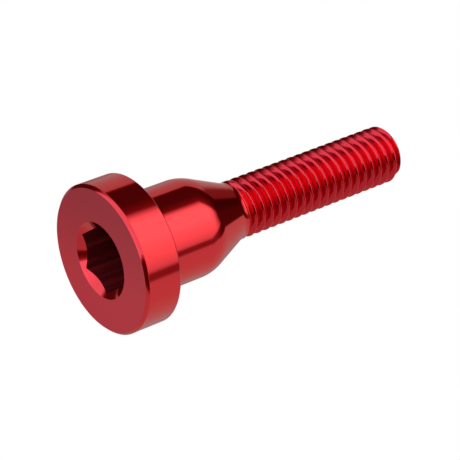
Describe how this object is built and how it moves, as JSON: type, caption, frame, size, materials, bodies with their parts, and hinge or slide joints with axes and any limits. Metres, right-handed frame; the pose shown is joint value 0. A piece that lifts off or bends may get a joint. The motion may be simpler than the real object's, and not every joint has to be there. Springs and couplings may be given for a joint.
{
  "type": "top cap bolt",
  "caption": "Red anodised socket head bolt with a flat disc head, a plain centring boss that tapers to the shank, and a metric thread.",
  "frame": {"origin": "centre of the head's outer face, on which the bolt stands", "axes": "+Z along the bolt from the head to the tip; +X through a corner of the socket"},
  "size_m": [0.0148, 0.0146, 0.0352],
  "materials": {
    "red_anodised_aluminium": "polished and red anodised, with a satin outer face"
  },
  "bodies": {
    "root": {"bolt": "red_anodised_aluminium"}
  },
  "joints": []
}
